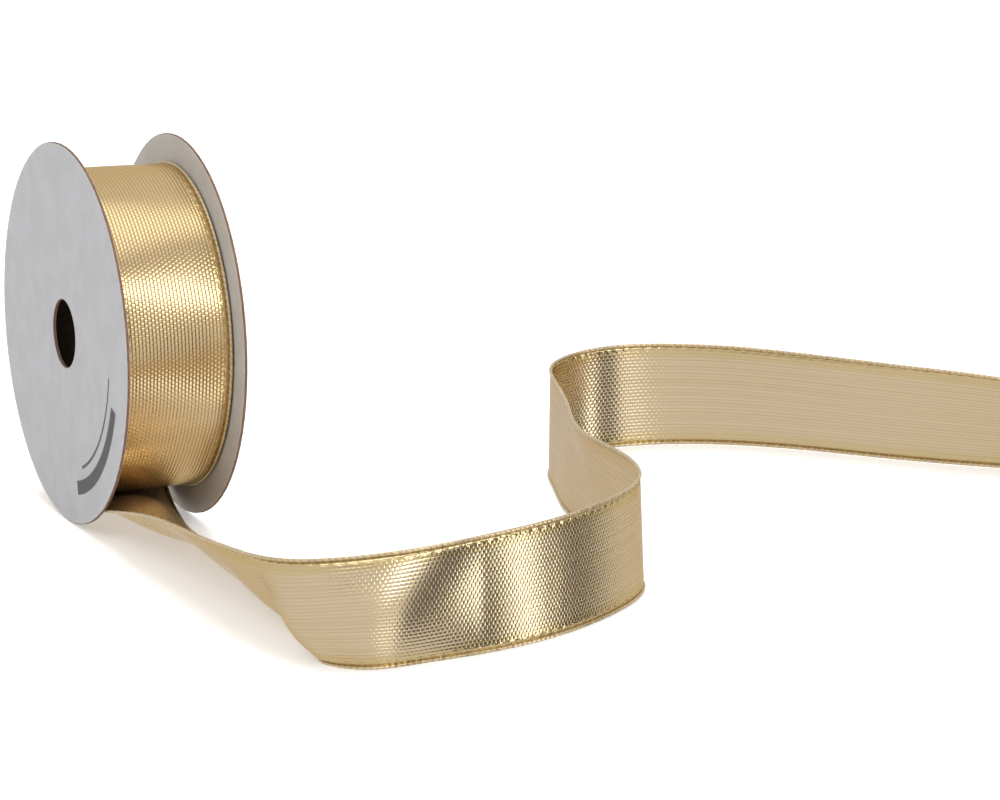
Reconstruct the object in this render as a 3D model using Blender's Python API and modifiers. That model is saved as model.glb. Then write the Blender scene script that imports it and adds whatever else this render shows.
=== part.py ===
"""Ribbon spool: two card flanges on a card core, metallic wire-edged ribbon, and its free tail.

The spool stands on the rims of its flanges with its axis along X. Its ribbon leaves the pack
low at the front, turns up on edge and runs over the table in an S. Units are metres, +Z is up,
and the origin lies on the table below the middle of the whole object.
"""
import math

import bmesh
import bpy
import numpy as np
from mathutils import Matrix, Vector

MM = 0.001

# Reel
FLANGE_RADIUS = 41.5 * MM
HOLE_RADIUS = 7.4 * MM
REEL_WIDTH = 27.0 * MM
FACE_PAPER = 0.10 * MM
GLUE_LINE = 0.02 * MM
BOARD = 0.46 * MM
PAPER_INSET = 0.15 * MM
CORE_RADIUS = 26.0 * MM
CORE_WALL = 1.5 * MM
RUNNING_GAP = 0.3 * MM
DISC_STEPS = 72
DRUM_STEPS = 64

# Ribbon
RIBBON_WIDTH = 25.0 * MM
RIBBON_THICK = 0.3 * MM
EDGE_RADIUS = 0.4 * MM
PACK_INNER = 26.6 * MM
PACK_OUTER = 34.3 * MM
TURN_START_RADIUS = 35.0 * MM
TURN_END_RADIUS = 35.4 * MM
LEAVE_ANGLE = math.radians(24)
TURN_SWEEP = math.radians(344)
STEP_LENGTH = 4.0 * MM
EDGE_SPAN = RIBBON_WIDTH - 2 * EDGE_RADIUS

# Start tape
TAPE_WIDTH = 19.0 * MM
TAPE_ARC = math.radians(70)
TAPE_THICK = 0.1 * MM

# The spool's middle on the table, from the object's origin. The flanges stand on a flat of
# their rims, so the axis is a little lower than the flange radius.
SPOOL_X = -99.06 * MM
SPOOL_Y = 49.60 * MM
AXIS_HEIGHT = FLANGE_RADIUS * math.cos(math.pi / DISC_STEPS)

# Where the two edge wires run after the ribbon leaves the pack, in mm from the spool's middle
# on the table: first the wire at the left of the pack, which climbs and ends up on top, then
# the other, which comes down on the table and stays there. The ribbon arches where the wires
# are closer together than its width.
TWIST = [
    ((-12.2, 6.5, 4.2), (11.7, 6.2, 3.4)),
    ((-12.2, -0.5, 2.9), (10.8, -0.8, 1.0)),
    ((-12.2, -10.5, 4.5), (8.8, -11.9, 0.4)),
    ((-12.2, -22, 6.9), (7.4, -23.8, 0.4)),
    ((-13.6, -32, 9.2), (7.7, -34, 0.4)),
    ((-14.1, -44, 11.8), (7.1, -45.8, 0.4)),
    ((-14, -60, 14.5), (5.6, -62, 0.4)),
    ((-14.1, -75.5, 16.1), (3.9, -77.1, 0.4)),
    ((-14.2, -90, 17.4), (2.5, -91.2, 0.4)),
    ((-13.6, -105, 18.8), (1.2, -106, 0.4)),
    ((-11.8, -119, 20.2), (-0.2, -119.8, 0.4)),
    ((-7, -128, 21.3), (-3.6, -129, 0.4)),
    ((2.3, -134.3, 22.6), (2.6, -137.2, 0.4)),
    ((13.6, -137.4, 23.8), (14.1, -137.4, 0.4)),
]

# Where the arch goes over from bowing up to bowing outwards, along Y from the spool's middle.
BOW_CHANGES = -30 * MM
BOW_CHANGE_LENGTH = 8 * MM

# The run on edge: where the lower wire stands, and how far the upper wire leans from it.
ON_EDGE = [
    ((29, -135.3), (-0.4, -0.4)),
    ((47, -129.3), (-0.4, 0.4)),
    ((65, -117.7), (-0.6, 0.4)),
    ((78.5, -102.5), (-0.8, 0.4)),
    ((83.8, -82.5), (-1.6, 0.3)),
    ((86.8, -59.5), (-4, 0.4)),
    ((89.2, -36.5), (-0.2, -0.6)),
    ((94.8, -16), (0, -0.8)),
    ((101, 0.5), (0, -1.2)),
    ((110, 9.8), (0.2, -2.2)),
    ((121, 14), (-0.2, -3)),
    ((134, 12.8), (-1, -4)),
    ((147.7, 6.6), (-2, -4.8)),
    ((162, -5), (-3.3, -5.4)),
    ((176.5, -20), (-4, -6)),
    ((193.5, -35.3), (-5.3, -7)),
    ((212.5, -50.5), (-7.4, -9.4)),
]


def clear_scene():
    for item in list(bpy.data.objects):
        bpy.data.objects.remove(item, do_unlink=True)


def new_material(name, colour, metallic, roughness):
    material = bpy.data.materials.new(name)
    material.use_nodes = True
    shader = material.node_tree.nodes["Principled BSDF"]
    shader.inputs["Base Color"].default_value = (*colour, 1.0)
    shader.inputs["Metallic"].default_value = metallic
    shader.inputs["Roughness"].default_value = roughness
    material.diffuse_color = (*colour, 1.0)
    return material


def smooth(item, degrees=35):
    item.data.shade_smooth()
    item.data.set_sharp_from_angle(angle=math.radians(degrees))


def add_object(name, data, material, collection, parent=None):
    item = bpy.data.objects.new(name, data)
    data.materials.append(material)
    collection.objects.link(item)
    item.parent = parent
    return item


def turned_ring(name, inner, outer, start, end, steps, material, collection, parent):
    """A ring turned about X, from x = start to x = end, with a flat of the turning at the bottom."""
    profile = [(outer, end), (outer, start), (inner, start), (inner, end)]
    mesh = bpy.data.meshes.new(name)
    shape = bmesh.new()
    corners = [shape.verts.new((radius, 0, height)) for radius, height in profile]
    for index in range(len(corners)):
        shape.edges.new((corners[index], corners[(index + 1) % len(corners)]))
    shape.to_mesh(mesh)
    shape.free()
    ring = add_object(name, mesh, material, collection, parent)
    ring.rotation_euler = (0, math.pi / 2, 0)
    turn = ring.modifiers.new("Turn", "SCREW")
    turn.axis = "Z"
    turn.angle = 2 * math.pi
    turn.steps = steps
    turn.render_steps = steps
    turn.use_merge_vertices = True
    turn.merge_threshold = 0.00001
    half_step = math.pi / steps
    mesh.transform(Matrix.Rotation(half_step, 4, "Z"))
    smooth(ring)
    return ring


def spiral_rows():
    """Both edge wires along the last turn, from its inner start to the point where it leaves."""
    rows = []
    count = 42
    for index in range(count + 1):
        share = index / count
        angle = LEAVE_ANGLE + TURN_SWEEP * (1 - share)
        radius = TURN_START_RADIUS + (TURN_END_RADIUS - TURN_START_RADIUS) * share
        y = radius * math.sin(angle)
        z = AXIS_HEIGHT - radius * math.cos(angle)
        half = EDGE_SPAN / 2
        rows.append((Vector((-half, y, z)), Vector((half, y, z))))
    return rows


def tail_rows():
    rows = []
    for first, second in TWIST:
        rows.append((Vector(first) * MM, Vector(second) * MM))
    for (x, y), (lean_x, lean_y) in ON_EDGE:
        low = Vector((x, y, EDGE_RADIUS / MM)) * MM
        lean = Vector((lean_x, lean_y, 0)) * MM
        rise = math.sqrt(EDGE_SPAN ** 2 - lean.length_squared)
        rows.append((low + lean + Vector((0, 0, rise)), low))
    return rows


def spline_through(points):
    """Natural cubic spline through the rows of points, with the knots at their chord lengths."""
    points = np.array(points)
    chords = np.linalg.norm(np.diff(points, axis=0), axis=1)
    knots = np.concatenate([[0.0], np.cumsum(chords)])
    count = len(points)
    system = np.zeros((count, count))
    right = np.zeros(points.shape)
    system[0, 0] = 1
    system[-1, -1] = 1
    for i in range(1, count - 1):
        before = knots[i] - knots[i - 1]
        after = knots[i + 1] - knots[i]
        system[i, i - 1] = before
        system[i, i] = 2 * (before + after)
        system[i, i + 1] = after
        slope_after = (points[i + 1] - points[i]) / after
        slope_before = (points[i] - points[i - 1]) / before
        right[i] = 6 * (slope_after - slope_before)
    bend = np.linalg.solve(system, right)

    def at(value):
        i = int(min(max(np.searchsorted(knots, value) - 1, 0), count - 2))
        length = knots[i + 1] - knots[i]
        a = (knots[i + 1] - value) / length
        b = (value - knots[i]) / length
        curve = ((a ** 3 - a) * bend[i] + (b ** 3 - b) * bend[i + 1]) * length ** 2 / 6
        return a * points[i] + b * points[i + 1] + curve

    return at, knots[-1]


def ribbon_route():
    """Evenly spaced pairs of edge-wire points along the whole free end."""
    rows = spiral_rows() + tail_rows()
    flat = [(*first, *second) for first, second in rows]
    at, total = spline_through(flat)
    count = round(total / math.sqrt(2) / STEP_LENGTH)
    route = []
    for index in range(count + 1):
        value = at(total * index / count)
        first = Vector(value[:3])
        second = Vector(value[3:])
        first.z = max(first.z, EDGE_RADIUS)
        second.z = max(second.z, EDGE_RADIUS)
        route.append((first, second))
    return route


def across(route, index, share):
    """A point across the ribbon: share 0 is the first wire and 1 the second.

    It bows up towards the pack just in front of the spool and outwards further on.
    """
    first, second = route[index]
    before = route[max(index - 1, 0)]
    after = route[min(index + 1, len(route) - 1)]
    tangent = (after[0] + after[1] - before[0] - before[1]).normalized()
    chord = second - first
    span = chord.length
    spare = max(EDGE_SPAN - span, 0.0)
    side = math.tanh((first.y + second.y - 2 * BOW_CHANGES) / (2 * BOW_CHANGE_LENGTH))
    rise = side * math.sqrt(3 * span * spare / 8)
    normal = tangent.cross(chord).normalized()
    return first + chord * share + normal * (4 * rise * share * (1 - share))


def build_strip(route, material, collection, place):
    """The woven strip between the two edge wires, as a surface that Solidify gives its thickness."""
    margin = (EDGE_RADIUS + RUNNING_GAP) / EDGE_SPAN
    lanes = 4
    mesh = bpy.data.meshes.new("ribbon_tail")
    shape = bmesh.new()
    grid = []
    for index in range(len(route)):
        row = []
        for lane in range(lanes + 1):
            share = margin + (1 - 2 * margin) * lane / lanes
            row.append(shape.verts.new(across(route, index, share)))
        grid.append(row)
    for index in range(len(grid) - 1):
        for lane in range(lanes):
            shape.faces.new((grid[index][lane], grid[index + 1][lane],
                             grid[index + 1][lane + 1], grid[index][lane + 1]))
    shape.to_mesh(mesh)
    shape.free()
    strip = add_object("ribbon_tail", mesh, material, collection, place)
    wall = strip.modifiers.new("Thickness", "SOLIDIFY")
    wall.thickness = RIBBON_THICK
    wall.offset = 0
    wall.use_even_offset = True
    smooth(strip)
    return strip


def build_wire(name, route, side, material, collection, place):
    """A wire-filled selvedge: a round bead along one edge of the strip."""
    curve = bpy.data.curves.new(name, "CURVE")
    curve.dimensions = "3D"
    curve.bevel_depth = EDGE_RADIUS
    curve.bevel_resolution = 1
    curve.use_fill_caps = True
    line = curve.splines.new("POLY")
    line.points.add(len(route) - 1)
    for point, pair in zip(line.points, route):
        point.co = (*pair[side], 1.0)
    return add_object(name, curve, material, collection, place)


def build_tape(material, collection, parent):
    """The tape that holds the inner end of the ribbon on the core: a bent strip."""
    radius = CORE_RADIUS + RUNNING_GAP
    steps = 10
    mesh = bpy.data.meshes.new("start_tape")
    shape = bmesh.new()
    grid = []
    for index in range(steps + 1):
        angle = TAPE_ARC * (index / steps - 0.5)
        y = radius * math.sin(angle)
        z = radius * math.cos(angle)
        grid.append([shape.verts.new((x, y, z)) for x in (-TAPE_WIDTH / 2, TAPE_WIDTH / 2)])
    for index in range(steps):
        shape.faces.new((grid[index][0], grid[index][1], grid[index + 1][1], grid[index + 1][0]))
    bmesh.ops.recalc_face_normals(shape, faces=shape.faces)
    shape.to_mesh(mesh)
    shape.free()
    tape = add_object("start_tape", mesh, material, collection, parent)
    wall = tape.modifiers.new("Thickness", "SOLIDIFY")
    wall.thickness = TAPE_THICK
    wall.offset = 0
    smooth(tape)
    return tape


def build_flange(side, sign, materials, collection, reel):
    """One flange: board with a face paper outside and a liner paper inside, glued together."""
    outer_face = sign * REEL_WIDTH / 2
    faces = [outer_face]
    for thickness in (FACE_PAPER, GLUE_LINE, BOARD, GLUE_LINE, FACE_PAPER):
        faces.append(faces[-1] - sign * thickness)
    layers = (
        (side + "_face_paper", 0, 1, "paper", PAPER_INSET),
        (side + "_flange_board", 2, 3, "board", 0.0),
        (side + "_liner_paper", 4, 5, "paper", PAPER_INSET),
    )
    for name, first, second, kind, inset in layers:
        start, end = sorted((faces[first], faces[second]))
        turned_ring(name, HOLE_RADIUS + inset, FLANGE_RADIUS - inset, start, end,
                    DISC_STEPS, materials[kind], collection, reel)
    return abs(faces[-1])


def main():
    clear_scene()
    collection = bpy.data.collections.new("ribbon_spool")
    bpy.context.scene.collection.children.link(collection)
    materials = {
        "board": new_material("kraft_board", (0.13, 0.075, 0.045), 0.0, 0.8),
        "paper": new_material("grey_face_paper", (0.49, 0.49, 0.50), 0.0, 0.55),
        "core": new_material("core_card", (0.30, 0.24, 0.18), 0.0, 0.85),
        "tape": new_material("start_tape", (0.80, 0.76, 0.62), 0.0, 0.35),
        "ribbon": new_material("gold_ribbon", (0.64, 0.46, 0.24), 0.85, 0.35),
        "selvedge": new_material("gold_selvedge", (0.72, 0.58, 0.34), 0.7, 0.4),
    }

    place = bpy.data.objects.new("spool_place", None)
    place.location = (SPOOL_X, SPOOL_Y, 0)
    collection.objects.link(place)
    reel = bpy.data.objects.new("reel_axis", None)
    reel.location = (0, 0, AXIS_HEIGHT)
    reel.parent = place
    collection.objects.link(reel)

    inside = build_flange("left", -1, materials, collection, reel)
    build_flange("right", 1, materials, collection, reel)

    core_half = inside - GLUE_LINE
    turned_ring("core_tube", CORE_RADIUS - CORE_WALL, CORE_RADIUS, -core_half, core_half,
                DRUM_STEPS, materials["core"], collection, reel)
    build_tape(materials["tape"], collection, reel)
    half = RIBBON_WIDTH / 2
    turned_ring("wound_ribbon", PACK_INNER, PACK_OUTER, -half, half,
                DRUM_STEPS, materials["ribbon"], collection, reel)

    route = ribbon_route()
    build_strip(route, materials["ribbon"], collection, place)
    build_wire("lower_edge_wire", route, 1, materials["selvedge"], collection, place)
    build_wire("upper_edge_wire", route, 0, materials["selvedge"], collection, place)
    bpy.context.view_layer.update()


main()
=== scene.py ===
"""Looks for the ribbon spool: woven gold ribbon, stitched wire edges and grey-faced card flanges."""
import math

import bmesh
import bpy
import numpy as np
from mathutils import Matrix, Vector, noise


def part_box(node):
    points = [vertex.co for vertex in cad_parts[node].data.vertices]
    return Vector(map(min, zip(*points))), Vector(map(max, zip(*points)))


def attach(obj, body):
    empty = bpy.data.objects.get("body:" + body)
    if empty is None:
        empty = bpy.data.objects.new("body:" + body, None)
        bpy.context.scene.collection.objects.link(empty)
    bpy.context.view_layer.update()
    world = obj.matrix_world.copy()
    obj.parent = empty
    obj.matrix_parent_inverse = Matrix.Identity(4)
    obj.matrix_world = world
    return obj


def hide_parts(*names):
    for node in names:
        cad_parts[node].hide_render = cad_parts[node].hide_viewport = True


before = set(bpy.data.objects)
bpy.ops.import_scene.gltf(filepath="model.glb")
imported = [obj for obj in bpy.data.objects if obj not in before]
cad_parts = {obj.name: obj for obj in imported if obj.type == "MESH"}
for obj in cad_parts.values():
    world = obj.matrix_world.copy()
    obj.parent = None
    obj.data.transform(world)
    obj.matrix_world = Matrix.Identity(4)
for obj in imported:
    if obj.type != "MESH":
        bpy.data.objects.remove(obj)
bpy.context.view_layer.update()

MM = 0.001

# The spool's middle on the table, and its axis height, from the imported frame.
LEFT_LOW, LEFT_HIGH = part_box("left_flange_board")
RIGHT_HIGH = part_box("right_flange_board")[1]
SPOOL_X = (LEFT_LOW.x + RIGHT_HIGH.x) / 2
SPOOL_Y = (LEFT_LOW.y + LEFT_HIGH.y) / 2
AXIS_HEIGHT = (LEFT_LOW.z + LEFT_HIGH.z) / 2
SPOOL = Vector((SPOOL_X, SPOOL_Y, 0))

# Ribbon, as in the CAD part.
RIBBON_WIDTH = 25.0 * MM
EDGE_RADIUS = 0.4 * MM
EDGE_SPAN = RIBBON_WIDTH - 2 * EDGE_RADIUS
TURN_START_RADIUS = 35.0 * MM
TURN_END_RADIUS = 35.4 * MM
LEAVE_ANGLE = math.radians(24)
TURN_SWEEP = math.radians(344)
TURN_LENGTH = TURN_SWEEP * (TURN_START_RADIUS + TURN_END_RADIUS) / 2
TURN_ROWS = 42
PACK_INNER = 26.6 * MM

# Where the tail leaves the pack and twists up on edge: the first wire's place, then the second
# wire's, in mm from the spool's middle on the table.
TWIST = [
    ((-12.2, 6.5, 4.2), (11.7, 6.2, 3.4)),
    ((-12.2, -0.5, 2.9), (10.8, -0.8, 1.0)),
    ((-12.2, -10.5, 4.5), (8.8, -11.9, 0.4)),
    ((-12.2, -22, 6.9), (7.4, -23.8, 0.4)),
    ((-13.6, -32, 9.2), (7.7, -34, 0.4)),
    ((-14.1, -44, 11.8), (7.1, -45.8, 0.4)),
    ((-14, -60, 14.5), (5.6, -62, 0.4)),
    ((-14.1, -75.5, 16.1), (3.9, -77.1, 0.4)),
    ((-14.2, -90, 17.4), (2.5, -91.2, 0.4)),
    ((-13.6, -105, 18.8), (1.2, -106, 0.4)),
    ((-11.8, -119, 20.2), (-0.2, -119.8, 0.4)),
    ((-7, -128, 21.3), (-3.6, -129, 0.4)),
    ((2.3, -134.3, 22.6), (2.6, -137.2, 0.4)),
    ((13.6, -137.4, 23.8), (14.1, -137.4, 0.4)),
]

# The run on edge, in mm: where the lower wire stands, and how far the upper one leans from it.
ON_EDGE = [
    ((29, -135.3), (-0.4, -0.4)),
    ((47, -129.3), (-0.4, 0.4)),
    ((65, -117.7), (-0.6, 0.4)),
    ((78.5, -102.5), (-0.8, 0.4)),
    ((83.8, -82.5), (-1.6, 0.3)),
    ((86.8, -59.5), (-4, 0.4)),
    ((89.2, -36.5), (-0.2, -0.6)),
    ((94.8, -16), (0, -0.8)),
    ((101, 0.5), (0, -1.2)),
    ((110, 9.8), (0.2, -2.2)),
    ((121, 14), (-0.2, -3)),
    ((134, 12.8), (-1, -4)),
    ((147.7, 6.6), (-2, -4.8)),
    ((162, -5), (-3.3, -5.4)),
    ((176.5, -20), (-4, -6)),
    ((193.5, -35.3), (-5.3, -7)),
    ((212.5, -50.5), (-7.4, -9.4)),
]

# The route's step, each wire's number in a row of it, and the cloth between the two wires.
ROUTE_STEP = 1.0 * MM
UPPER = 0
LOWER = 1
CLOTH_THICKNESS = 0.2 * MM
CLOTH_INSET = 0.28 * MM
CLOTH_LANES = 20

# Where the cloth's arch goes over from bowing up to bowing outwards, along Y from the spool's
# middle, and the spare width below which it hardly bows at all.
BOW_CHANGES = -30 * MM
BOW_CHANGE_LENGTH = 8 * MM
BOW_THRESHOLD = 0.3 * MM

# Dents and crinkles of the cloth: height, length, and how many fit across the ribbon.
DENTS = (0.05 * MM, 22 * MM, 1.3)
CRINKLES = (0.01 * MM, 7 * MM, 2.6)

# Folds of the outer turn: a swing from one edge to the other and a slanting ripple.
SWING_HEIGHT = 0.26 * MM
SWING_LENGTH = 22 * MM
SWING_START = 73.7 * MM
RIPPLE_HEIGHT = 0.06 * MM
RIPPLE_LENGTH = 31 * MM
RIPPLE_SLANT = 0.8
FOLD_FADE = 10 * MM
FOLD_MARGIN = 0.06

# Stitched tubes over the edge wires.
SELVEDGE_RADIUS = 0.37 * MM
SELVEDGE_UNEVENNESS = 0.03 * MM
SELVEDGE_UNEVEN_LENGTH = 3 * MM
SELVEDGE_SIDES = 8

# The wound turns: one rounded edge per turn on either side of a ring.
PACK_HALF_WIDTH = 12.4 * MM
PACK_CLEARANCE = 0.45 * MM
EDGE_PITCH = 0.6 * MM
EDGE_BULGE = 0.3 * MM
EDGE_POINTS = 4
PACK_STEPS = 160

# Weave, in mm of cloth: rows, floats and stitches, and bands measured from the ribbon's middle.
WEFT_PITCH = 0.80
FLOAT_LENGTH = 1.06
FLOAT_ROUNDING_ACROSS = 0.65
FLOAT_ROUNDING_ALONG = 0.3
STITCH_PITCH = 2.7
STITCH_BAND = (10.7, 11.6, 0.25)
BORDER_START = (8.8, 9.8)
# Where the outer turn ends along the cloth, in mm: the wound pack's painted shade in the gaps and
# painted reflection tint on the floats fade out over it.
REEL_END = (TURN_LENGTH / MM - 4, TURN_LENGTH / MM + 8)

# The left face's printed arcs: radii and their softness, then angles and theirs in radians.
BROAD_ARC = ((31.95 * MM, 35.05 * MM, 0.15 * MM), (-1.345, -0.305, 0.005))
THIN_ARC = ((29.1 * MM, 29.8 * MM, 0.1 * MM), (-1.195, -0.125, 0.005))
# Radii of the band by the rim where the paper turns patchily lighter.
RIM_LIGHTER_BAND = (39.8 * MM, 41.3 * MM)

# Camera, placed from the spool's middle.
CAMERA_PLACE = Vector((-450.0, -1302.6, 353.2)) * MM
CAMERA_PITCH = math.radians(13.4)
CAMERA_HEADING = math.radians(22.46)
CAMERA_LENS = 234.0
SENSOR_WIDTH = 36.0

# Studio patches: start, end and softness of the heading, then of the height, in degrees.
FLAG_FRONT = ((29, 60, 2), (-33, 20, 3))
FLAG_SIDE = ((68, 97, 2), (-27, 25, 3))
DARK_STRIP = ((-60, 110, 15), (48, 56, 2))
BOX_FRONT = ((6, 30, 3), (25, 43, 2))
BOX_SIDE = ((60, 67, 1), (-25, 40, 3))
BOX_LOW = ((4, 30, 4), (-34, -25, 3))
BOX_TOP_HEIGHTS = (66, 74)
TABLE_HEIGHTS = (-58, -75)

# Studio brightness: shares of the flags' darkness and the boxes' light, and the colours.
DARK_STRIP_SHARE = 0.6
BOX_LOW_SHARE = 0.3
BOX_TOP_SHARE = 0.28
TENT_COLOUR = (0.70, 0.68, 0.67, 1.0)
TABLE_COLOUR = (0.60, 0.47, 0.33, 1.0)
BOX_COLOUR = (5.0, 4.9, 4.8, 1.0)
FLAG_COLOUR = (0.035, 0.028, 0.03, 1.0)

# Area lights: name, place, width and height, watts. All of them face LIGHT_TARGET.
LIGHTS = (
    ("left", (-1.2, -0.9, 1.4), (0.9, 0.9), 9.0),
    ("top", (0.1, 0.3, 1.8), (1.4, 1.0), 17.0),
    ("front", (0.25, -1.7, 0.5), (1.6, 0.6), 7.0),
)
LIGHT_TARGET = Vector((0.0, 0.0, 0.03))

FLOOR_HALF = 6.0
FLOOR_PLACE = (0, 3.0, -0.0002)

COLLECTION = bpy.context.scene.collection


# ---------------------------------------------------------------- camera
def make_camera():
    data = bpy.data.cameras.new("camera")
    data.lens = CAMERA_LENS
    data.sensor_width = SENSOR_WIDTH
    data.clip_start = 0.05
    data.clip_end = 50.0
    camera = bpy.data.objects.new("camera", data)
    camera.location = SPOOL + CAMERA_PLACE
    camera.rotation_euler = (math.pi / 2 - CAMERA_PITCH, 0, -CAMERA_HEADING)
    COLLECTION.objects.link(camera)
    bpy.context.scene.camera = camera


# ---------------------------------------------------------------- ribbon route
def spiral_rows():
    """The outer turn on the pack: a slow spiral that ends where the tail leaves it."""
    rows = []
    half = EDGE_SPAN / 2
    for index in range(TURN_ROWS + 1):
        share = index / TURN_ROWS
        angle = LEAVE_ANGLE + TURN_SWEEP * (1 - share)
        radius = TURN_START_RADIUS + (TURN_END_RADIUS - TURN_START_RADIUS) * share
        y = radius * math.sin(angle)
        z = AXIS_HEIGHT - radius * math.cos(angle)
        rows.append((Vector((-half, y, z)), Vector((half, y, z))))
    return rows


def tail_rows():
    """The free tail: the two wires' places through the twist and the run on edge."""
    rows = []
    for first, second in TWIST:
        rows.append((Vector(first) * MM, Vector(second) * MM))
    for (x, y), (lean_x, lean_y) in ON_EDGE:
        low = Vector((x, y, EDGE_RADIUS / MM)) * MM
        lean = Vector((lean_x, lean_y, 0)) * MM
        rise = math.sqrt(EDGE_SPAN ** 2 - lean.length_squared)
        rows.append((low + lean + Vector((0, 0, rise)), low))
    return rows


def spline_through(points):
    """A natural cubic spline through the points, as a function of chord length, and that length."""
    points = np.array(points)
    chords = np.linalg.norm(np.diff(points, axis=0), axis=1)
    knots = np.concatenate([[0.0], np.cumsum(chords)])
    count = len(points)
    system = np.zeros((count, count))
    slope_changes = np.zeros(points.shape)
    system[0, 0] = 1
    system[-1, -1] = 1
    for i in range(1, count - 1):
        before = knots[i] - knots[i - 1]
        after = knots[i + 1] - knots[i]
        system[i, i - 1] = before
        system[i, i] = 2 * (before + after)
        system[i, i + 1] = after
        slope_after = (points[i + 1] - points[i]) / after
        slope_before = (points[i] - points[i - 1]) / before
        slope_changes[i] = 6 * (slope_after - slope_before)
    bend = np.linalg.solve(system, slope_changes)

    def at(value):
        i = int(min(max(np.searchsorted(knots, value) - 1, 0), count - 2))
        length = knots[i + 1] - knots[i]
        a = (knots[i + 1] - value) / length
        b = (value - knots[i]) / length
        curve = ((a ** 3 - a) * bend[i] + (b ** 3 - b) * bend[i + 1]) * length ** 2 / 6
        return a * points[i] + b * points[i + 1] + curve

    return at, knots[-1]


def ribbon_route():
    """Both wires' places at even steps of the whole ribbon, kept above the table."""
    rows = spiral_rows() + tail_rows()
    at, total = spline_through([(*first, *second) for first, second in rows])
    count = round(total / math.sqrt(2) / ROUTE_STEP)
    route = []
    for index in range(count + 1):
        value = at(total * index / count)
        first = Vector(value[:3])
        second = Vector(value[3:])
        first.z = max(first.z, EDGE_RADIUS)
        second.z = max(second.z, EDGE_RADIUS)
        route.append((first, second))
    return route


def lengths_along(route):
    """How far each step of the route lies from the ribbon's start, along its middle."""
    lengths = [0.0]
    for before, after in zip(route, route[1:]):
        middle_step = ((after[0] + after[1]) - (before[0] + before[1])) / 2
        lengths.append(lengths[-1] + middle_step.length)
    return lengths


ROUTE = ribbon_route()
LENGTHS = lengths_along(ROUTE)


def section_frame(index):
    """One cross-section: its first edge, the chord to the second, its normal and its arch's rise."""
    first, second = ROUTE[index]
    before = ROUTE[max(index - 2, 0)]
    after = ROUTE[min(index + 2, len(ROUTE) - 1)]
    tangent = (after[0] + after[1] - before[0] - before[1]).normalized()
    chord = second - first
    span = chord.length
    spare = max(EDGE_SPAN - span, 0.0)
    side = math.tanh((first.y + second.y - 2 * BOW_CHANGES) / (2 * BOW_CHANGE_LENGTH))
    slack = spare * spare / (spare + BOW_THRESHOLD)
    rise = side * math.sqrt(3 * span * slack / 8)
    normal = tangent.cross(chord).normalized()
    return first, chord, normal, rise


def puckering(along, share):
    """Small dents and crinkles that handling and the wired edges leave in the cloth."""
    middle = math.sin(math.pi * min(max(share, 0), 1))
    lift = 0.0
    for slice_height, (height, length, across) in ((0.7, DENTS), (4.1, CRINKLES)):
        place = Vector((along / length, share * across, slice_height))
        lift += noise.noise(place) * height
    return lift * middle


def tension_folds(along, share):
    """The outer turn's slight twist across its width, high left and low right, then the reverse."""
    if along > TURN_LENGTH:
        return 0.0
    fade = min(along, TURN_LENGTH - along, FOLD_FADE) / FOLD_FADE
    swing = math.sin(2 * math.pi * (along - SWING_START) / SWING_LENGTH)
    ripple = math.sin(2 * math.pi * (along / RIPPLE_LENGTH + share * RIPPLE_SLANT))
    return ((1 - 2 * share) * swing * SWING_HEIGHT + ripple * RIPPLE_HEIGHT) * fade


def ribbon_point(index, share):
    """The cloth's middle surface at one step of the route, share of the way between the wires."""
    first, chord, normal, rise = section_frame(index)
    along = LENGTHS[index]
    lift = 4 * rise * share * (1 - share) + puckering(along, share)
    held = min(share, 1 - share, FOLD_MARGIN) / FOLD_MARGIN
    lift -= tension_folds(along, share) * held
    return first + chord * share + normal * lift


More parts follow.
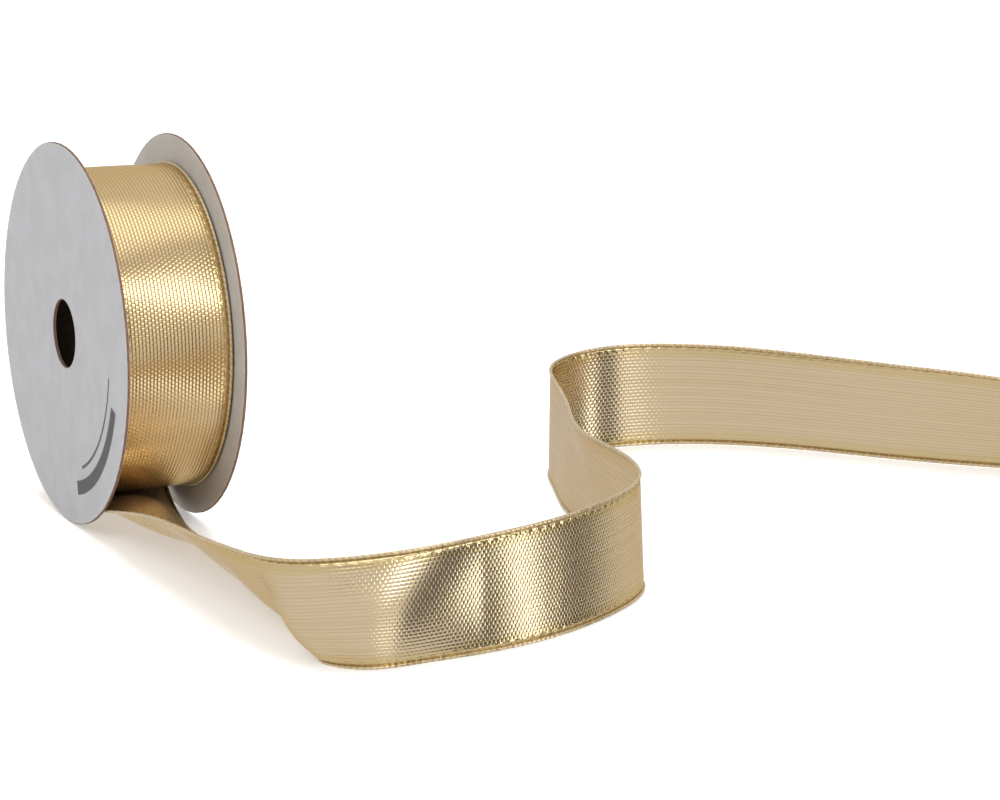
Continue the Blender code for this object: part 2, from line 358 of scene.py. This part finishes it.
# ---------------------------------------------------------------- node helpers
class Graph:
    """Short names for building a material's node tree."""

    def __init__(self, name, world=False):
        self.material = (bpy.data.worlds if world else bpy.data.materials).new(name)
        self.material.use_nodes = True
        self.nodes = self.material.node_tree.nodes
        self.links = self.material.node_tree.links
        self.shader = self.nodes["Background" if world else "Principled BSDF"]

    def add(self, kind, **settings):
        node = self.nodes.new(kind)
        for key, value in settings.items():
            setattr(node, key, value)
        return node

    def link(self, source, target):
        self.links.new(source, target)

    def feed(self, socket, value):
        if isinstance(value, (int, float, tuple)):
            socket.default_value = value
        else:
            self.link(value, socket)

    def math(self, operation, first, second=None):
        node = self.add("ShaderNodeMath", operation=operation)
        for socket, value in zip(node.inputs, (first, second)):
            if value is not None:
                self.feed(socket, value)
        return node.outputs[0]

    def ramp(self, value, start, end, low=0.0, high=1.0):
        """From low to high with soft ends as the value goes from start to end."""
        node = self.add("ShaderNodeMapRange", interpolation_type="SMOOTHSTEP")
        self.feed(node.inputs["Value"], value)
        node.inputs["From Min"].default_value = start
        node.inputs["From Max"].default_value = end
        node.inputs["To Min"].default_value = low
        node.inputs["To Max"].default_value = high
        return node.outputs["Result"]

    def mix(self, share, first, second):
        node = self.add("ShaderNodeMix", data_type="RGBA")
        self.feed(node.inputs["Factor"], share)
        self.feed(node.inputs[6], first)
        self.feed(node.inputs[7], second)
        return node.outputs[2]

    def noise(self, vector, scale, detail):
        """Cloudy noise of the vector times scale, one factor for each of its directions."""
        scaled = self.add("ShaderNodeVectorMath", operation="MULTIPLY")
        self.link(vector, scaled.inputs[0])
        scaled.inputs[1].default_value = scale
        node = self.add("ShaderNodeTexNoise")
        self.link(scaled.outputs[0], node.inputs["Vector"])
        node.inputs["Scale"].default_value = 1.0
        node.inputs["Detail"].default_value = detail
        node.inputs["Roughness"].default_value = 0.55
        return node.outputs[0]

    def bump(self, height, strength, distance):
        """Relief of the height, linked to the shader."""
        node = self.add("ShaderNodeBump")
        node.inputs["Strength"].default_value = strength
        node.inputs["Distance"].default_value = distance
        self.link(height, node.inputs["Height"])
        self.link(node.outputs[0], self.shader.inputs["Normal"])

    def split(self, vector):
        node = self.add("ShaderNodeSeparateXYZ")
        self.link(vector, node.inputs[0])
        return node.outputs

    def coordinates(self, kind):
        return self.add("ShaderNodeTexCoord").outputs[kind]

    def cloth_place(self):
        """The cloth's own map: mm along it, and mm or shares across it."""
        return self.add("ShaderNodeUVMap", uv_map="cloth").outputs[0]


def band(g, value, start, end, soft):
    """1 between start and end, falling to 0 over soft on either side."""
    rising = g.ramp(value, start - soft, start + soft)
    falling = g.ramp(value, end + soft, end - soft)
    return g.math("MULTIPLY", rising, falling)


def patch(g, first, second, spans):
    """1 where both values lie in their spans, with soft borders."""
    return g.math("MULTIPLY", band(g, first, *spans[0]), band(g, second, *spans[1]))


def colour(red, green, blue):
    """A colour given as sRGB shares, turned to the linear values that sockets take."""
    linear = []
    for value in (red, green, blue):
        if value <= 0.04045:
            linear.append(value / 12.92)
        else:
            linear.append(((value + 0.055) / 1.055) ** 2.4)
    return (*linear, 1.0)


# ---------------------------------------------------------------- materials
def weave_pattern(g):
    """Plain weave of flat floats: heights and masks from mm along and across the ribbon."""
    uv = g.cloth_place()
    along, over = g.split(uv)[:2]
    row_value = g.math("DIVIDE", over, WEFT_PITCH)
    row = g.math("FLOOR", row_value)
    row_share = g.math("FRACT", row_value)
    shift = g.math("MULTIPLY", g.math("MODULO", row, 2.0), 0.5)
    float_value = g.math("ADD", g.math("DIVIDE", along, FLOAT_LENGTH), shift)
    float_share = g.math("FRACT", float_value)
    hump_across = g.math("SINE", g.math("MULTIPLY", row_share, math.pi))
    hump_along = g.math("SINE", g.math("MULTIPLY", float_share, math.pi))
    rounded_across = g.math("POWER", hump_across, FLOAT_ROUNDING_ACROSS)
    rounded_along = g.math("POWER", hump_along, FLOAT_ROUNDING_ALONG)
    centre = g.math("ABSOLUTE", g.math("SUBTRACT", over, RIBBON_WIDTH / MM / 2))
    stitch_share = g.math("FRACT", g.math("DIVIDE", along, STITCH_PITCH))
    stitch_hump = g.math("POWER", g.math("SINE", g.math("MULTIPLY", stitch_share, math.pi)), 3.0)
    return {
        # Mask of the wound pack along the cloth, which carries the outward face's painted shade and
        # painted reflection tint.
        "reel": g.ramp(along, *REEL_END, 1.0, 0.0),
        "hump": g.math("MULTIPLY", rounded_across, rounded_along),
        "stitch": g.math("MULTIPLY", stitch_hump, band(g, centre, *STITCH_BAND)),
        "border": g.ramp(centre, *BORDER_START),
        "streak": g.ramp(g.noise(uv, (0.006, 1.6, 1.0), 2.0), 0.35, 0.65),
        "cloud": g.noise(uv, (0.05, 0.12, 1.0), 2.0),
    }


def shiny_face():
    """The outward face: metallic floats, yellow by the edges, with painted shade in the gaps and a
    painted yellower reflection tint on the floats where they lie on other turns.
    """
    g = Graph("lame_front")
    w = weave_pattern(g)
    floats = g.mix(w["streak"], colour(0.885, 0.81, 0.67), colour(0.905, 0.835, 0.70))
    floats = g.mix(g.math("MULTIPLY", w["border"], 0.5), floats, colour(0.87, 0.78, 0.54))
    # Painted reflection: the floats on the wound pack get a yellower tint.
    floats = g.mix(g.math("MULTIPLY", w["reel"], 0.7), floats, colour(0.90, 0.79, 0.58))
    # Gap colour between the floats: the cloth's own tan on the tail, and painted shade of dark brown
    # on the wound pack.
    gaps_and_pack_shade = g.mix(w["reel"], colour(0.85, 0.75, 0.58), colour(0.52, 0.36, 0.17))
    full = g.mix(g.ramp(w["hump"], 0.0, 0.6, 0.35, 1.0), gaps_and_pack_shade, floats)
    g.link(full, g.shader.inputs["Base Color"])
    g.shader.inputs["Roughness"].default_value = 0.19
    g.shader.inputs["Metallic"].default_value = 0.93
    g.shader.inputs["Specular Tint"].default_value = colour(0.95, 0.88, 0.75)
    height = g.math("ADD", w["hump"], g.math("MULTIPLY", w["stitch"], 2.0))
    g.bump(height, 0.6, 0.08 * MM)
    return g.material


def dull_face():
    """The inward face: mostly the tan ground yarn, smooth, with faint lengthwise streaks."""
    g = Graph("lame_back")
    w = weave_pattern(g)
    tan = g.mix(w["streak"], colour(0.85, 0.76, 0.60), colour(0.89, 0.81, 0.66))
    tan = g.mix(g.math("MULTIPLY", w["border"], 0.55), tan, colour(0.86, 0.74, 0.50))
    tan = g.mix(g.ramp(w["cloud"], 0.3, 0.7, 0.0, 0.35), tan, colour(0.84, 0.75, 0.62))
    full = g.mix(g.ramp(w["hump"], 0.0, 0.6, 0.4, 1.0), colour(0.74, 0.60, 0.40), tan)
    g.link(full, g.shader.inputs["Base Color"])
    g.shader.inputs["Roughness"].default_value = 0.25
    g.shader.inputs["Metallic"].default_value = 0.85
    g.shader.inputs["Specular Tint"].default_value = colour(0.97, 0.93, 0.87)
    g.bump(g.math("ADD", w["hump"], w["stitch"]), 0.6, 0.07 * MM)
    return g.material


def selvedge_material():
    """Stitched metallic thread round the edge wire: a row of small slanting beads."""
    g = Graph("selvedge_stitch")
    along, around = g.split(g.cloth_place())[:2]
    slant = g.math("ADD", g.math("DIVIDE", along, STITCH_PITCH / 2), around)
    hump = g.math("SINE", g.math("MULTIPLY", g.math("FRACT", slant), math.pi))
    white = g.add("ShaderNodeTexWhiteNoise", noise_dimensions="1D")
    g.link(g.math("FLOOR", slant), white.inputs["W"])
    chance = white.outputs["Value"]
    bright = g.mix(chance, colour(0.84, 0.77, 0.63), colour(0.90, 0.83, 0.68))
    full = g.mix(g.ramp(hump, 0.1, 0.6), colour(0.78, 0.69, 0.53), bright)
    g.link(full, g.shader.inputs["Base Color"])
    g.shader.inputs["Metallic"].default_value = 0.85
    g.link(g.math("ADD", g.math("MULTIPLY", chance, 0.15), 0.22), g.shader.inputs["Roughness"])
    g.bump(hump, 0.4, 0.1 * MM)
    return g.material


def wound_material():
    """The turns below the outer one, seen only in the gap beside it: stacked stitched edges."""
    g = Graph("wound_edges")
    grain = g.noise(g.coordinates("Object"), (900.0, 900.0, 900.0), 3.0)
    full = g.mix(g.ramp(grain, 0.35, 0.7), colour(0.50, 0.37, 0.18), colour(0.88, 0.76, 0.48))
    g.link(full, g.shader.inputs["Base Color"])
    g.shader.inputs["Metallic"].default_value = 0.8
    g.shader.inputs["Roughness"].default_value = 0.38
    g.bump(grain, 0.5, 0.2 * MM)
    return g.material


def paper_material(name, base, printed):
    """Smooth coated paper, faintly mottled and patchily lighter near the rim, with two plain arcs if
    printed.
    """
    g = Graph(name)
    place = g.coordinates("Object")
    mottle = g.noise(place, (180.0, 180.0, 180.0), 4.0)
    fibre = g.noise(place, (2500.0, 2500.0, 2500.0), 2.0)
    darker = tuple(0.93 * share for share in base[:3]) + (1.0,)
    tone = g.mix(g.ramp(mottle, 0.35, 0.65), darker, base)

    place_y, place_z = g.split(place)[1:]
    y = g.math("SUBTRACT", place_y, SPOOL_Y)
    z = g.math("SUBTRACT", place_z, AXIS_HEIGHT)
    radius = g.math("SQRT", g.math("ADD", g.math("MULTIPLY", y, y), g.math("MULTIPLY", z, z)))
    # Patchily lighter paper near the rim.
    rim_lighter = g.math("MULTIPLY", g.ramp(radius, *RIM_LIGHTER_BAND), g.ramp(fibre, 0.45, 0.75))
    tone = g.mix(g.math("MULTIPLY", rim_lighter, 0.5), tone, colour(0.80, 0.79, 0.78))
    if printed:
        angle = g.math("ARCTAN2", z, g.math("MULTIPLY", y, -1.0))
        broad = patch(g, radius, angle, BROAD_ARC)
        thin = patch(g, radius, angle, THIN_ARC)
        ink = g.math("MULTIPLY", g.math("MAXIMUM", broad, thin), 0.88)
        tone = g.mix(ink, tone, colour(0.18, 0.18, 0.19))
    g.link(tone, g.shader.inputs["Base Color"])
    g.shader.inputs["Roughness"].default_value = 0.48
    g.shader.inputs["Specular IOR Level"].default_value = 0.35
    g.bump(fibre, 0.12, 0.05 * MM)
    return g.material


def board_material(name, first, second):
    """Raw card: brown fibres in thin plies."""
    g = Graph(name)
    place = g.coordinates("Object")
    plies = g.noise(place, (9000.0, 500.0, 500.0), 3.0)
    spots = g.noise(place, (1200.0, 1200.0, 1200.0), 3.0)
    tone = g.mix(g.ramp(plies, 0.3, 0.7), first, second)
    tone = g.mix(g.ramp(spots, 0.55, 0.8, 0.0, 0.35), tone, colour(0.62, 0.52, 0.42))
    g.link(tone, g.shader.inputs["Base Color"])
    g.shader.inputs["Roughness"].default_value = 0.85
    g.bump(plies, 0.4, 0.08 * MM)
    return g.material


def tape_material():
    """Yellowish clear tape, a little hazy."""
    g = Graph("clear_tape")
    haze = g.noise(g.coordinates("Object"), (300.0, 300.0, 300.0), 2.0)
    tone = g.mix(haze, colour(0.80, 0.76, 0.62), colour(0.90, 0.88, 0.78))
    g.link(tone, g.shader.inputs["Base Color"])
    g.shader.inputs["Roughness"].default_value = 0.25
    g.shader.inputs["Coat Weight"].default_value = 0.4
    return g.material


def floor_material():
    """A plain pale floor with a slight glow of its own, so that it stays near white."""
    g = Graph("pale_floor")
    g.shader.inputs["Base Color"].default_value = (0.85, 0.85, 0.85, 1.0)
    g.shader.inputs["Roughness"].default_value = 0.7
    g.shader.inputs["Specular IOR Level"].default_value = 0.2
    g.shader.inputs["Emission Color"].default_value = (1.0, 1.0, 1.0, 1.0)
    g.shader.inputs["Emission Strength"].default_value = 0.3
    return g.material


# ---------------------------------------------------------------- pieces
def finish_mesh(shape, name, material):
    mesh = bpy.data.meshes.new(name)
    shape.to_mesh(mesh)
    shape.free()
    mesh.materials.append(material)
    item = bpy.data.objects.new(name, mesh)
    COLLECTION.objects.link(item)
    mesh.shade_smooth()
    return item


def build_ribbon(inward, outward):
    """The outer turn and the free tail as one strip of cloth, with its weave mapped in mm."""
    margin = CLOTH_INSET / EDGE_SPAN
    shape = bmesh.new()
    uv_layer = shape.loops.layers.uv.new("cloth")
    grid = []
    for index in range(len(ROUTE)):
        row = []
        for lane in range(CLOTH_LANES + 1):
            share = margin + (1 - 2 * margin) * lane / CLOTH_LANES
            vertex = shape.verts.new(ribbon_point(index, share) + SPOOL)
            row.append((vertex, LENGTHS[index] / MM, (EDGE_RADIUS + share * EDGE_SPAN) / MM))
        grid.append(row)
    for index in range(len(grid) - 1):
        for lane in range(CLOTH_LANES):
            corners = (grid[index][lane], grid[index + 1][lane],
                       grid[index + 1][lane + 1], grid[index][lane + 1])
            face = shape.faces.new([corner[0] for corner in corners])
            for loop, corner in zip(face.loops, corners):
                loop[uv_layer].uv = (corner[1], corner[2])
    item = finish_mesh(shape, "ribbon_cloth", inward)
    item.data.materials.append(outward)
    wall = item.modifiers.new("Thickness", "SOLIDIFY")
    wall.thickness = CLOTH_THICKNESS
    wall.offset = 0
    wall.material_offset = 1
    return item


def build_selvedge(name, side, material):
    """The stitched tube over one edge wire, a little uneven, with its stitches mapped along it."""
    shape = bmesh.new()
    uv_layer = shape.loops.layers.uv.new("cloth")
    rings = []
    for index in range(len(ROUTE)):
        chord, normal = section_frame(index)[1:3]
        out = chord.normalized() * (1 if side == LOWER else -1)
        centre = ROUTE[index][side] + SPOOL
        place = Vector((LENGTHS[index] / SELVEDGE_UNEVEN_LENGTH, side * 9.0, 0))
        radius = SELVEDGE_RADIUS + SELVEDGE_UNEVENNESS * noise.noise(place)
        ring = []
        for step in range(SELVEDGE_SIDES):
            angle = 2 * math.pi * step / SELVEDGE_SIDES
            offset = out * math.cos(angle) + normal * math.sin(angle)
            ring.append(shape.verts.new(centre + offset * radius))
        rings.append(ring)
    for index in range(len(rings) - 1):
        for step in range(SELVEDGE_SIDES):
            after = (step + 1) % SELVEDGE_SIDES
            corners = (rings[index][step], rings[index + 1][step],
                       rings[index + 1][after], rings[index][after])
            face = shape.faces.new(corners)
            lengths = (LENGTHS[index], LENGTHS[index + 1], LENGTHS[index + 1], LENGTHS[index])
            shares = (step, step, step + 1, step + 1)
            for loop, length, share in zip(face.loops, lengths, shares):
                loop[uv_layer].uv = (length / MM, share / SELVEDGE_SIDES)
    shape.faces.new(rings[0])
    shape.faces.new(list(reversed(rings[-1])))
    bmesh.ops.recalc_face_normals(shape, faces=shape.faces)
    return finish_mesh(shape, name, material)


def wound_profile():
    """The ring's outline as radius and X: a rounded edge per turn, up one side and down the other."""
    turns = int((TURN_START_RADIUS - PACK_CLEARANCE - PACK_INNER) / EDGE_PITCH)
    valley = PACK_HALF_WIDTH - EDGE_BULGE
    profile = []
    for turn in range(turns):
        for step in range(EDGE_POINTS):
            share = step / EDGE_POINTS
            radius = PACK_INNER + EDGE_PITCH * (turn + share)
            profile.append((radius, valley + EDGE_BULGE * math.sin(math.pi * share)))
    profile.append((PACK_INNER + EDGE_PITCH * turns, valley))
    return profile + [(radius, -x) for radius, x in reversed(profile)]


def build_wound(material):
    """The turns under the outer one: a ring whose two sides are stacked rounded edges."""
    outline = wound_profile()
    shape = bmesh.new()
    rings = []
    for step in range(PACK_STEPS):
        angle = 2 * math.pi * step / PACK_STEPS
        ring = []
        for radius, x in outline:
            point = Vector((x, radius * math.sin(angle), AXIS_HEIGHT + radius * math.cos(angle)))
            ring.append(shape.verts.new(point + SPOOL))
        rings.append(ring)
    count = len(outline)
    for step in range(PACK_STEPS):
        after = (step + 1) % PACK_STEPS
        for corner in range(count):
            beyond = (corner + 1) % count
            shape.faces.new((rings[step][corner], rings[after][corner],
                             rings[after][beyond], rings[step][beyond]))
    bmesh.ops.recalc_face_normals(shape, faces=shape.faces)
    item = finish_mesh(shape, "wound_turns", material)
    item.data.set_sharp_from_angle(angle=math.radians(50))
    return item


def set_material(node, material):
    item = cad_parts[node]
    item.data.materials.clear()
    item.data.materials.append(material)


# ---------------------------------------------------------------- studio
def build_floor():
    shape = bmesh.new()
    bmesh.ops.create_grid(shape, x_segments=1, y_segments=1, size=FLOOR_HALF)
    item = finish_mesh(shape, "floor", floor_material())
    item.location = FLOOR_PLACE
    item.visible_glossy = False


def area_light(name, place, size, power):
    """A soft light that the metal doesn't mirror, because its reflections come from the studio."""
    data = bpy.data.lights.new(name, "AREA")
    data.shape = "RECTANGLE"
    data.size, data.size_y = size
    data.energy = power
    item = bpy.data.objects.new(name, data)
    item.location = place
    direction = LIGHT_TARGET - Vector(place)
    item.rotation_euler = direction.to_track_quat("-Z", "Y").to_euler()
    item.visible_glossy = False
    COLLECTION.objects.link(item)


def build_studio():
    """A pale tent round the object, with black flags and bright boxes for the metal to mirror."""
    g = Graph("studio", world=True)
    bpy.context.scene.world = g.material
    x, y, z = g.split(g.coordinates("Generated"))
    heading = g.math("DEGREES", g.math("ARCTAN2", x, g.math("MULTIPLY", y, -1.0)))
    height = g.math("DEGREES", g.math("ARCSINE", z))

    flags = g.math("MAXIMUM", patch(g, heading, height, FLAG_FRONT),
                   patch(g, heading, height, FLAG_SIDE))
    strip = g.math("MULTIPLY", patch(g, heading, height, DARK_STRIP), DARK_STRIP_SHARE)
    dark = g.math("MAXIMUM", flags, strip)

    boxes = g.math("MAXIMUM", patch(g, heading, height, BOX_FRONT),
                   patch(g, heading, height, BOX_SIDE))
    bright = g.math("MAXIMUM", boxes, g.ramp(height, *BOX_TOP_HEIGHTS, 0.0, BOX_TOP_SHARE))
    box_low = g.math("MULTIPLY", patch(g, heading, height, BOX_LOW), BOX_LOW_SHARE)
    bright = g.math("MAXIMUM", bright, box_low)

    low = g.mix(g.ramp(height, *TABLE_HEIGHTS), TENT_COLOUR, TABLE_COLOUR)
    tent = g.mix(bright, low, BOX_COLOUR)
    g.link(g.mix(dark, tent, FLAG_COLOUR), g.shader.inputs["Color"])
    g.shader.inputs["Strength"].default_value = 1.0
    for name, place, size, power in LIGHTS:
        area_light(name, place, size, power)


def dress_card():
    """Looks for the card and paper pieces, which keep their CAD shapes."""
    face = colour(0.672, 0.675, 0.687)
    set_material("left_face_paper", paper_material("face_paper_left", face, True))
    set_material("right_face_paper", paper_material("face_paper_right", face, False))
    liner = paper_material("liner_paper", colour(0.745, 0.735, 0.72), False)
    board = board_material("kraft_edge", colour(0.36, 0.26, 0.20), colour(0.52, 0.40, 0.31))
    for side in ("left", "right"):
        set_material(f"{side}_liner_paper", liner)
        set_material(f"{side}_flange_board", board)
    core = board_material("core_card", colour(0.30, 0.25, 0.20), colour(0.42, 0.36, 0.29))
    set_material("core_tube", core)
    set_material("start_tape", tape_material())


def add_ribbon():
    """The visible ribbon in place of its CAD stand-ins."""
    stitched = selvedge_material()
    ribbon = build_ribbon(dull_face(), shiny_face())
    lower = build_selvedge("selvedge_lower", LOWER, stitched)
    upper = build_selvedge("selvedge_upper", UPPER, stitched)
    wound = build_wound(wound_material())

    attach(ribbon, "ribbon")
    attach(lower, "ribbon")
    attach(upper, "ribbon")
    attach(wound, "reel")
    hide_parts("ribbon_tail")
    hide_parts("lower_edge_wire")
    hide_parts("upper_edge_wire")
    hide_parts("wound_ribbon")


def main():
    bpy.context.scene.view_settings.view_transform = "Standard"
    make_camera()
    add_ribbon()
    dress_card()
    build_floor()
    build_studio()


main()
